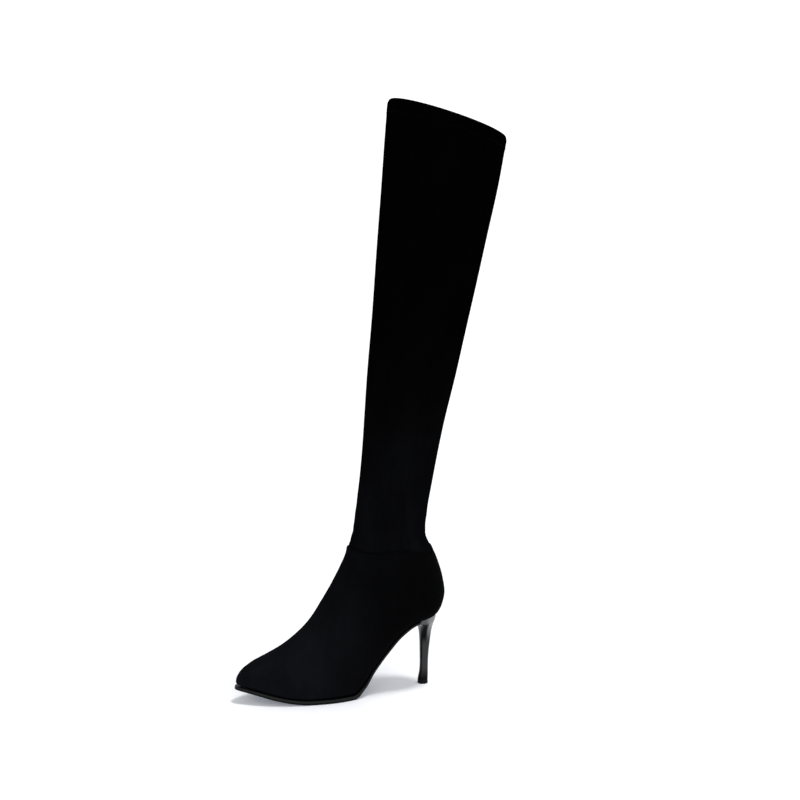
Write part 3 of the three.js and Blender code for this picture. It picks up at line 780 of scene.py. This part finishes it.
def shaft_relief(place, turn):
    """Seams, waves and creases between the shaft's two ends, and the hem with its sunken stitch line."""
    radius = girth_radius(place)
    seams = sum(seam_relief(beside(turn, seam) * radius) for seam in side_seams)
    cloth = seams + cloth_waves(place, turn) + crease_relief(place, turn)
    shown = np.clip((collar - place) / 4, 0, 1) * np.clip((place - topline - 2) / 8, 0, 1)
    stitch_line = hem_stitch_sink * bell(place - collar + hem_depth - hem_stitch_up, 0.8)
    return cloth * shown + hem_rise * in_hem(place) - stitch_line


def rim_arc(end, height, count):
    """Rows of half a turn over a rim, and the share of the wall that each has crossed."""
    angle = np.linspace(0, math.pi, count + 2)[1:-1][:, None]
    return end - height + height * np.sin(angle), (1 - np.cos(angle)) / 2


print("hem %.0f mm deep, leaning in by %.1f mm at the collar" % (hem_depth, turned_in(collar)))


# %% Shaft surface
def shaft_surface():
    """Outside, rim and inside, each the form's skin at a depth of its own, in one closed loop of rows."""
    turns = turns_round(132, side_seams, side_offsets)
    turn = turns[None, :]
    foot_end, hem_start, rim_height = topline - tuck_depth, collar - hem_depth, 0.8
    hem_rows = np.linspace(hem_start - 3, collar - rim_height, 34)[1:]
    rows = np.r_[np.linspace(foot_end, hem_start - 3, 250), hem_rows][:, None]
    outside = skin(rows, turn, shaft_depth_at(rows) + turned_in(rows) - shaft_relief(rows, turn))
    rim_rows, crossed = rim_arc(collar, rim_height, 7)
    rim_depth = shaft_depth + (shaft_wall + hem_fold) * crossed - hem_rise * (crossed <= 0.5)
    rim = skin(rim_rows, turn, rim_depth + turned_in(rim_rows))
    inner_rows = np.r_[np.linspace(foot_end, hem_start - 2, 110), hem_rows[6::2]][::-1, None]
    wall = shaft_wall + hem_fold * in_hem(inner_rows)
    inside = skin(inner_rows, turn, shaft_depth_at(inner_rows) + turned_in(inner_rows) + wall)
    lined = (inner_rows.ravel() < hem_start).astype(int)
    finish_of_row = np.r_[np.zeros(len(rows) + len(rim_rows), int), lined]
    lengths = np.r_[rows.ravel(), rim_rows.ravel(), inner_rows.ravel(), rows[0]]
    cloth = (np.r_[turns, TURN] * knit_radius, lengths)
    points = np.concatenate([outside, rim, inside])
    return grid_solid("shaft_cloth", points, [shaft_suede, knit], True, finish_of_row, cloth)


shaft = shaft_surface()
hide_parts("shaft")

# %% [markdown]
# ## Upper
#
# The foot part is cut in one piece, closed by a seam up the back of the heel, and pulled
# over the last so tightly that it has no folds of its own, which is why the form itself is
# its surface. Its top edge is skived thin and stitched down over the shaft. Grid rows
# crowd at the toe, where the form turns quickly, and columns beside the back seam.

# %% Relief of the upper
heel_radius, lining_radius = 28, 40
back_offsets = np.array([0.3, 0.6, 1.0, 1.5, 2.2, 3.1, 4.4, 6.0]) / heel_radius
seam_start, back_stitch_start = places[13], places[14]
stitch_down, stitch_sink = 2.2, 0.25


def upper_relief(place, turn):
    """Back seam above the heel seat, the slow waves of the cloth, and the ankle's creases."""
    seam = seam_relief(beside(turn, 0) * section_at(place)["outer"])
    up_back = np.clip((place - seam_start) / 12, 0, 1)
    calm = np.clip((place - 30) / 60, 0, 1) * np.clip((topline - place) / 6, 0, 1)
    cloth = 0.7 * cloth_waves(place, turn) + crease_relief(place, turn)
    return seam * up_back + cloth * calm - stitch_sink * bell(topline - place - stitch_down, 0.9)


print("back seam from place %.0f up" % seam_start)


# %% Upper surface
def upper_surface():
    """Outside, rim and inside as rows from the toe up to the top edge and back down again."""
    turns = turns_round(150, [0], back_offsets)
    turn = turns[None, :]
    rim_height = 0.4
    toe_rows = toe_length * np.linspace(0.06, 1, 22) ** 2
    sides = np.linspace(toe_length, topline - 5, 210)[1:]
    edge_rows = np.linspace(topline - 5, topline - rim_height, 12)[1:]
    rows = np.r_[toe_rows, sides, edge_rows][:, None]
    outside = skin(waved(rows, turn), turn, -upper_relief(rows, turn))
    rim_rows, crossed = rim_arc(topline, rim_height, 5)
    rim = skin(waved(rim_rows, turn), turn, topline_wall * crossed)
    inner_rows = np.r_[toe_rows[6::3], sides[::4], topline - rim_height][::-1, None]
    inside = skin(waved(inner_rows, turn), turn, wall_at(inner_rows))
    finish_of_row = np.r_[np.zeros(len(rows) + len(rim_rows), int), np.ones(len(inner_rows) - 1, int)]
    lengths = np.r_[rows.ravel(), rim_rows.ravel(), inner_rows.ravel()]
    cloth = (np.r_[turns, TURN] * lining_radius, lengths)
    points = np.concatenate([outside, rim, inside])
    return grid_solid("upper_suede", points, [foot_suede, knit], False, finish_of_row, cloth)


upper = upper_surface()
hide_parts("upper")

# %% [markdown]
# ## Outsole
#
# A thin leather-look rubber sole, cut a hair wider than the upper and bevelled below. Its
# cross-section is a closed loop carried along the foot bed: down one edge, across the
# tread, up the other edge and back across the top, which keeps both bevels crisp without
# a Bevel modifier. Fine ribs are moulded into the tread under the ball, where it meets the
# floor; they only ever go up into the sole.

# %% Foot bed and sole outline
bed_slope = (sections["under_z"][0] - sections["under_z"][1]) / (
    sections["under_x"][0] - sections["under_x"][1]
)


def bed_point(place):
    """Line of the foot bed in X and Z, carried straight on under the rounded toe."""
    x = section_at(place)["under_x"]
    ahead = sections["under_z"][0] + (x - sections["under_x"][0]) * bed_slope
    return np.stack([x, np.where(place < toe_length, ahead, section_at(place)["under_z"])], -1)


def bed_normal(place):
    """Direction away from the floor, square to the foot bed."""
    run = unit(bed_point(np.maximum(place - 0.2, 0)) - bed_point(place + 0.2))
    return np.stack([-run[..., 1], run[..., 0]], -1)


def place_at(x):
    """Place whose point on the foot bed lies at x, by halving."""
    low, high = toe_length, places[int(np.argmin(sections["under_x"][: last_foot + 1]))]
    while high - low > 0.01:
        middle = (low + high) / 2
        low, high = (middle, high) if section_at(middle)["under_x"] > x else (low, middle)
    return low


def sole_outline(place, side):
    """Edge of the sole in X and Y: the form's lower edge moved out at right angles."""

    def edge(at):
        """Point where the form's lower edge stands over the floor."""
        section = section_at(at)
        half = (section["outer"] if side > 0 else section["inner"]) * section["sole"]
        return np.stack([bed_point(at)[..., 0], side * half - section["swing"]], -1)

    step = np.minimum(0.2, place / 2)
    run = unit(edge(place - step) - edge(place + step))
    return edge(place) + side * sole_edge * np.stack([-run[..., 1], run[..., 0]], -1)


print("sole %.1f mm wide at the ball" % np.ptp([sole_outline(places[4], side)[1] for side in (1, -1)]))

# %% Tread and edge of the outsole
rib_pitch, rib_depth, rib_margin = 3.4, 0.5, 6
ribs_from, ribs_to = 92, 184


def tread_relief(x, y, from_edge):
    """Zigzag ribs, sunk into the ball of the sole and fading out before its edge and its ends."""
    zigzag = np.abs((y / 16 + 100.5) % 1 - 0.5) * 9
    wave = 0.5 + 0.5 * np.cos(TURN * (x + zigzag) / rib_pitch)
    groove = np.clip((wave - 0.55) / 0.25, 0, 1)
    inside_margin = np.clip((from_edge - rib_margin) / 0.8, 0, 1)
    under_ball = np.clip(x - ribs_from, 0, 1) * np.clip(ribs_to - x, 0, 1)
    return rib_depth * groove * inside_margin * under_ball


# How far down the sole's thickness each point lies as a share, with a lift and an inset in mm.
edge_profile = columns_of(
    "share lift inset",
    [
        [0, 0, 0.22],
        [0, -0.1, 0.06],
        [0, -0.32, 0],
        [0.55, 0, 0],
        [1, 0.72, 0.04],
        [1, 0.34, 0.3],
        [1, 0.1, 0.56],
        [1, 0, 0.9],
    ],
)
edge_faces, breast_gap = 3, 0.05


def upright(points, end):
    """Slides points back along the foot bed until all of them stand at the heel's breast."""
    normal = bed_normal(np.array(end))
    back = points[..., 0] - breast - breast_gap
    return points + points_at(-back, 0, back * normal[0] / normal[1])


print("ribs:", int((ribs_to - ribs_from) / rib_pitch))


# %% Outsole surface
def outsole_surface():
    """Loop of both edges, the tread and the top, carried along the foot bed from toe to heel."""
    at_breast = place_at(breast)
    reach = (curves["tread"](at_breast) + clearance) * bed_normal(np.array(at_breast))[0]
    end = place_at(breast + clearance + reach)
    toe_rows = toe_length * np.linspace(0.14, 1, 12) ** 2
    rows = np.r_[toe_rows, np.arange(toe_length + 0.7, end - 0.7, 0.8), end]
    tread = curves["tread"](np.maximum(rows, toe_length))[:, None]
    lift = edge_profile["lift"] - edge_profile["share"] * tread - clearance
    normal, bed_at = bed_normal(rows), bed_point(rows)

    def edge_points(side):
        """The edge's profile at every row: out from the foot bed and down from it."""
        outline = sole_outline(rows, side)
        y = outline[:, 1:] - side * edge_profile["inset"]
        return points_at(outline[:, :1] + lift * normal[:, :1], y, bed_at[:, 1:] + lift * normal[:, 1:])

    outer, inner = edge_points(1), edge_points(-1)
    shares = np.linspace(0, 1, 76)[1:-1]
    bottom = mix(outer[:, -1:], inner[:, -1:], shares[None, :, None])
    width = np.linalg.norm(outer[:, -1] - inner[:, -1], axis=-1)[:, None]
    from_edge = np.minimum(shares, 1 - shares)[None, :] * width
    up = tread_relief(bottom[..., 0], bottom[..., 1], from_edge)[..., None]
    bottom = bottom + up * points_at(normal[:, 0], 0, normal[:, 1])[:, None]
    top = mix(inner[:, :1], outer[:, :1], np.linspace(0, 1, 8)[1:-1][None, :, None])
    points = np.concatenate([outer, bottom, inner[:, ::-1], top], 1)
    points[-1] = upright(points[-1], end)
    piece = grid_solid("outsole_rubber", points, [sole_edge_finish, sole_tread_finish])
    on_tread = np.zeros(points.shape[1], int)
    on_tread[edge_faces : points.shape[1] - top.shape[1] - edge_faces - 1] = 1
    indices = np.r_[np.tile(on_tread, len(rows) - 1), np.zeros(2 * points.shape[1], int)]
    piece.data.polygons.foreach_set("material_index", indices.astype(np.int32))
    return piece


outsole = outsole_surface()
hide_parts("outsole")

# %% [markdown]
# ## Insole
#
# The board with its thin leather sock lies inside on the turned-in margin of the upper.
# Seen through the collar it is the floor of the boot, so it gets a softly padded top that
# rolls down at its edge: a high power of the way across, flat in the middle, with no
# modifier to round it.

# %% Insole surface
insole_reach = 0.49
pad_columns, under_columns = 40, 12
pad_drop, pad_ease, pad_power, edge_below = 1.0, 0.15, 14, 1.2


def half_width_at(place, height, side):
    """Half width of the form at a height over the foot bed, from the superellipse below its belly."""
    section = section_at(place)
    share = np.clip(height / (2 * girth_radius(place)), 0, section["belly"] * 0.999)
    c = (1 - share / section["belly"]) ** (section["base"] / 2)
    half = section["outer"] if side > 0 else section["inner"]
    return half * np.sqrt(1 - c * c) ** (2 / section["base"])


def insole_surface():
    """Loop across the padded top and back below it, carried along the foot bed."""
    end = place_at(-insole_reach * heel_overhang)
    rows = np.r_[np.arange(toe_length, end - 0.6, 1.6), end]
    normal, bed_at, swing = bed_normal(rows), bed_point(rows), section_at(rows)["swing"]
    top = upper_wall + clearance + insole_thickness
    outer, inner = (
        (half_width_at(rows, top - edge_below, side) - upper_wall - 2 * clearance)[:, None]
        for side in (1, -1)
    )
    share = np.linspace(0, 1, pad_columns)
    pad = top - pad_ease - pad_drop * np.abs(2 * share - 1) ** pad_power
    height = np.r_[pad, np.full(under_columns, upper_wall + clearance + 0.2)]
    across = np.r_[share, np.linspace(1, 0, under_columns)]
    inset = np.r_[np.zeros(pad_columns), np.full(under_columns, edge_below)]
    y = (outer - inner) / 2 - swing[:, None] + ((outer + inner) / 2 - inset) * (1 - 2 * across)
    points = points_at(bed_at[:, :1] + height * normal[:, :1], y, bed_at[:, 1:] + height * normal[:, 1:])
    return grid_solid("insole_sock", points, [sock])


insole = insole_surface()
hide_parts("insole")

# %% [markdown]
# ## Heel
#
# A stiletto heel isn't turned on a lathe: its breast is flat and its back sweeps out to the
# seat. So it is a level ring carried up its height, nearly round at the foot, slimmest at a
# third of the way, then wider and squarer. The top follows the underside of the upper,
# which is found by halving along the height, so no Boolean has to cut it.

# %% Where the underside of the upper lies
def superellipse(rear, front, width, square, turn):
    """Ring in X and Y, round at the back and squarer at the breast."""
    c, s = np.cos(turn), np.sin(turn)
    power = 2 / np.where(c > 0, square, round_heel)
    x = (front + rear) / 2 + (front - rear) / 2 * np.sign(c) * np.abs(c) ** power
    return x, width / 2 * np.sign(s) * np.abs(s) ** power


def inside_form(x, y, z):
    """Whether points lie inside the foot's form: the section through each is found by halving."""
    low, high = np.full(x.shape, toe_length), np.full(x.shape, topline)
    for _ in range(40):
        middle = (low + high) / 2
        section = section_at(middle)
        run_x, run_z = run_of(section)
        ahead = run_x * (z - section["under_z"]) - run_z * (x - section["under_x"]) < 0
        low, high = np.where(ahead, low, middle), np.where(ahead, middle, high)
    section = section_at(low)
    run_x, run_z = run_of(section)
    share = ((x - section["under_x"]) * run_x + (z - section["under_z"]) * run_z) / (run_x**2 + run_z**2)
    belly, base, crown = section["belly"], section["base"], section["crown"]
    below = np.clip(1 - share / belly, 0, 1) ** (base / 2)
    above = np.clip((share - belly) / (1 - belly), 0, 1) ** (crown / 2)
    c = np.where(share < belly, below, above)
    power = 2 / np.where(share < belly, base, crown)
    half = np.where(y + section["swing"] > 0, section["outer"], section["inner"])
    return (share > 0) & (share < 1) & (np.abs(y + section["swing"]) < half * np.sqrt(1 - c * c) ** power)


def underside(x, y):
    """Height of the form's underside over points of the floor, by halving."""
    low, high = np.full(x.shape, 50.0), np.full(x.shape, 110.0)
    for _ in range(24):
        middle = (low + high) / 2
        within = inside_form(x, y, middle)
        low, high = np.where(within, low, middle), np.where(within, middle, high)
    return low


print("underside of the upper over the heel's middle: %.1f mm" % underside(np.zeros(1), np.zeros(1))[0])

# %% Heel surface
heel_curves = {name: smooth_curve(stem["up"], values) for name, values in stem.items()}


def heel_ring(up, turn):
    """Ring at a share of the way up the heel, between the sizes of the stem, foot and seat."""
    at = {name: curve(up) for name, curve in heel_curves.items()}
    foot_rear = mix(-stem_lean - stem_length / 2, -tip_length / 2, at["flare"])
    foot_front = mix(-stem_lean + stem_length / 2, tip_length / 2, at["flare"])
    foot_width = mix(stem_width, tip_width, at["flare"])
    rear = mix(foot_rear, -heel_rear, at["rear"])
    front = mix(foot_front, breast, at["front"])
    width = mix(foot_width, heel_top_width, at["wide"])
    return superellipse(rear, front, width, at["square"], turn)


def heel_surface():
    """Rings up to the underside of the upper, and a lid of shrinking rings just below it."""
    bottom = tip_height + clearance
    turn = turns_round(112)
    top = np.ones(len(turn))
    for _ in range(3):
        top = (underside(*heel_ring(top, turn)) - clearance - bottom) / (seat - bottom)
    shares = np.r_[0, np.linspace(0.006, 0.8, 100), np.linspace(0.8, 1, 110)[1:]][:, None]
    up = shares * top
    x, y = heel_ring(up, turn)
    eased = np.where(shares == 0, 0.96, 1)
    side = points_at(x * eased, y * eased, mix(bottom, seat, up))
    lids = []
    for shrink in (0.92, 0.7, 0.45, 0.2):
        x, y = mix(side[-1].mean(0)[:2], side[-1, :, :2], shrink).T
        lids.append(points_at(x, y, underside(x, y) - clearance))
    return grid_solid("heel_lacquered", np.concatenate([side, np.array(lids)]), [lacquer])


heel = heel_surface()
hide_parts("heel")

# %% Top piece of the heel
def tip_surface():
    """Rubber block under the heel: a ring whose size eases at its walking edge and towards its top."""
    turn = turns_round(96)[None, :]
    up = np.r_[0, 0.03, 0.08, 0.14, np.linspace(0.2, 0.94, 40), 0.97, 1.0][:, None]
    size = np.interp(up, [0, 0.03, 0.08, 0.14, 0.94, 0.97, 1], [0.93, 0.965, 0.99, 1, 0.975, 0.965, 0.95])
    half = tip_length / 2 * size
    x, y = superellipse(-half, half, tip_width * size, round_heel, turn)
    side = points_at(x, y, up * tip_height)
    shrink = np.array([0.3, 0.6, 0.85])[:, None, None]
    floor = side[0] * shrink
    lid = side[-1] * shrink[::-1] + np.array([0, 0, tip_height]) * (1 - shrink[::-1])
    return grid_solid("heel_tip_rubber", np.concatenate([floor, side, lid]), [tip_finish])


tip = tip_surface()
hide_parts("heel_tip")

# %% [markdown]
# ## Stitching
#
# A lockstitch shows as a row of short, slightly sunken threads. Each is a small capsule
# with a few dozen faces, laid along a path on the surface. An Array modifier on a curve
# would bend them, so all stitches of a row are one mesh, worked out in one go.

# %% A row of stitches
stitch_length, stitch_gap, thread_radius = 2.5, 1.0, 0.24
ring_count, ring_corners = 6, 6


def stitch_row(name, path, normals):
    """Capsules spaced evenly by length along a path, each lying along it and a little sunk in."""
    steps = np.linalg.norm(np.diff(path, axis=0), axis=1)
    length = np.r_[0, np.cumsum(steps)]
    count = int(length[-1] // (stitch_length + stitch_gap))
    middle = (np.arange(count) + 0.5) * length[-1] / count

    def at(distance, values):
        """Values of the path at a distance along it."""
        return np.stack([np.interp(distance, length, values[:, axis]) for axis in range(3)], -1)

    start, end = at(middle - stitch_length / 2, path), at(middle + stitch_length / 2, path)
    ahead, up = unit(end - start), unit(at(middle, normals))
    side = np.cross(ahead, up)
    along = np.array([-1, -0.8, -0.3, 0.3, 0.8, 1])[:, None]
    radius = thread_radius * np.array([0.35, 0.85, 1, 1, 0.85, 0.35])
    arch = np.array([-0.25, -0.02, 0.1, 0.1, -0.02, -0.25])[:, None]
    angle = np.arange(ring_corners)[:, None] / ring_corners * TURN
    ring = np.cos(angle) * up[:, None, None] + np.sin(angle) * side[:, None, None]
    core = (start + end)[:, None] / 2 + along * (end - start)[:, None] / 2 + arch * up[:, None]
    points = core[:, :, None] + ring * radius[:, None, None]
    corner = np.arange(ring_count * ring_corners).reshape(ring_count, ring_corners)
    low, high = corner[:-1], corner[1:]
    quads = np.stack([low, high, np.roll(high, -1, 1), np.roll(low, -1, 1)], -1).reshape(-1, 4)
    caps = np.stack([corner[0], corner[-1][::-1]])
    offsets = corner.size * np.arange(count)[:, None, None]
    faces = (quads + offsets).reshape(-1, 4).tolist() + (caps + offsets).reshape(-1, ring_corners).tolist()
    piece = mesh_object(name, points.reshape(-1, 3), faces, [thread])
    print("%s: %d stitches over %.0f mm" % (name, count, length[-1]))
    return piece


def surface_path(place, turn, depth):
    """Points and outward directions along a line on the form."""
    place, turn = np.broadcast_arrays(np.asarray(place, float), np.asarray(turn, float))
    return skin(place, turn, depth), outward(place, turn)


print("one stitch every %.1f mm" % (stitch_length + stitch_gap))

# %% Stitches of the boot
topline_thread_depth, hem_thread_lift, back_thread_lift, beside_seam = 0.12, 0.08, 0.12, 1.9
round_turns = np.linspace(0, TURN, 400)
topline_row = waved(topline - stitch_down, round_turns)
points, directions = surface_path(topline_row, round_turns, topline_thread_depth)
stitch_row("topline_stitches", points, directions)
hem_stitch_row = collar - hem_depth + hem_stitch_up
points, directions = surface_path(hem_stitch_row, round_turns, shaft_depth - hem_thread_lift)
stitch_row("hem_stitches", points, directions)
back_rows = np.linspace(back_stitch_start, topline - 3.5, 160)
for number, offset in enumerate((-beside_seam, beside_seam)):
    turn = offset / section_at(back_rows)["outer"]
    points, directions = surface_path(waved(back_rows, turn), turn, -back_thread_lift)
    stitch_row("back_stitches_%d" % (number + 1), points, directions)

# %% [markdown]
# ## Floor and light
#
# The photograph is a white studio shot with the boot standing on its sole: white all round,
# light mostly from above, and black cloth that stays black at its sides. So the floor is
# white paper that glows a little, which keeps its shadows pale, and the sky is white low
# down and dimmer higher up. A large lamp shines from overhead and a little from behind,
# for the soft shadow under the arch, and a weaker, wider one from the camera's side.

# %% White floor
def white_floor():
    """Rings of a flat disc, carried out to eighteen metres."""
    radius = np.array([0.5, 1, 2, 4, 8, 18])[:, None]
    turn = turns_round(64)
    points = points_at(radius * np.cos(turn), radius * np.sin(turn), 0)
    corner = np.arange(len(radius) * len(turn)).reshape(len(radius), -1)
    low, high = corner[:-1], corner[1:]
    rings = np.stack([low, high, np.roll(high, -1, 1), np.roll(low, -1, 1)], -1).reshape(-1, 4)
    mesh = bpy.data.meshes.new("white_floor")
    mesh.from_pydata(points.reshape(-1, 3).tolist(), [], rings.tolist() + [corner[0].tolist()])
    # Painted light: the floor glows a faint blue, which lifts its shadows and tints them blue.
    glow = {"Emission_Color": (0.8, 0.86, 1, 1), "Emission_Strength": 0.2}
    finish = Finish("white_paper", Roughness=0.4, Specular_IOR_Level=0.2, **glow)
    finish.colour(finish.blend(finish.noise(3), (0.9, 0.9, 0.905, 1), (0.92, 0.92, 0.925, 1)))
    mesh.materials.append(finish.material)
    floor = bpy.data.objects.new("white_floor", mesh)
    bpy.context.scene.collection.objects.link(floor)


white_floor()
print("floor: %d faces" % len(bpy.data.meshes["white_floor"].polygons))


# %% Lamps and sky
def soft_lamp(name, direction, spread, strength):
    """A lamp far away: parallel light from a direction, as soft as the disc of sky that it fills."""
    lamp = bpy.data.lights.new(name, "SUN")
    lamp.angle = math.radians(spread)
    lamp.energy = strength
    holder = bpy.data.objects.new(name, lamp)
    holder.rotation_euler = Vector(direction).to_track_quat("Z", "Y").to_euler()
    bpy.context.scene.collection.objects.link(holder)


def white_sky():
    """Brightness by the height of the direction: white at the horizon, dimmer from 14 degrees up."""
    world = bpy.data.worlds.new("white_sky")
    world.use_nodes = True
    tree = world.node_tree
    direction = tree.nodes.new("ShaderNodeTexCoord")
    parts = tree.nodes.new("ShaderNodeSeparateXYZ")
    fade = tree.nodes.new("ShaderNodeMapRange")
    fade.interpolation_type = "SMOOTHSTEP"
    for key, value in {"From Min": 0.1, "From Max": 0.24, "To Min": 1.15, "To Max": 0.42}.items():
        fade.inputs[key].default_value = value
    tree.links.new(direction.outputs["Generated"], parts.inputs[0])
    tree.links.new(parts.outputs["Z"], fade.inputs["Value"])
    tree.links.new(fade.outputs[0], tree.nodes["Background"].inputs["Strength"])
    tree.nodes["Background"].inputs["Color"].default_value = (1, 1, 1, 1)
    bpy.context.scene.world = world


white_sky()
soft_lamp("top_lamp", direction=(-0.24, 0.08, 1), spread=11, strength=1.95)
soft_lamp("front_lamp", direction=(0.45, 0.9, 0.6), spread=40, strength=0.6)
bpy.context.scene.view_settings.view_transform = "Standard"
print("lamps:", len(bpy.data.lights))

# %% [markdown]
# ## Camera
#
# The boot is seen from its outer side, turned a little towards the camera, with a long
# lens held slightly below the collar's height. The focal length follows from how many
# pixels one metre covers at one metre's distance.

# %% Camera
image_width = 800
focal_pixels = 1632
camera_place = (0.62533, 1.6168, 0.570)
pan, tilt = math.radians(-110.322), math.radians(-8.383)

camera = bpy.data.cameras.new("camera")
camera.sensor_width = 36
camera.lens = focal_pixels / image_width * camera.sensor_width
camera.clip_end = 50
eye = bpy.data.objects.new("camera", camera)
eye.location = camera_place
gaze = Vector((math.cos(tilt) * math.cos(pan), math.cos(tilt) * math.sin(pan), math.sin(tilt)))
eye.rotation_euler = gaze.to_track_quat("-Z", "Y").to_euler()
bpy.context.scene.collection.objects.link(eye)
bpy.context.scene.camera = eye
print("lens %.1f mm" % camera.lens)
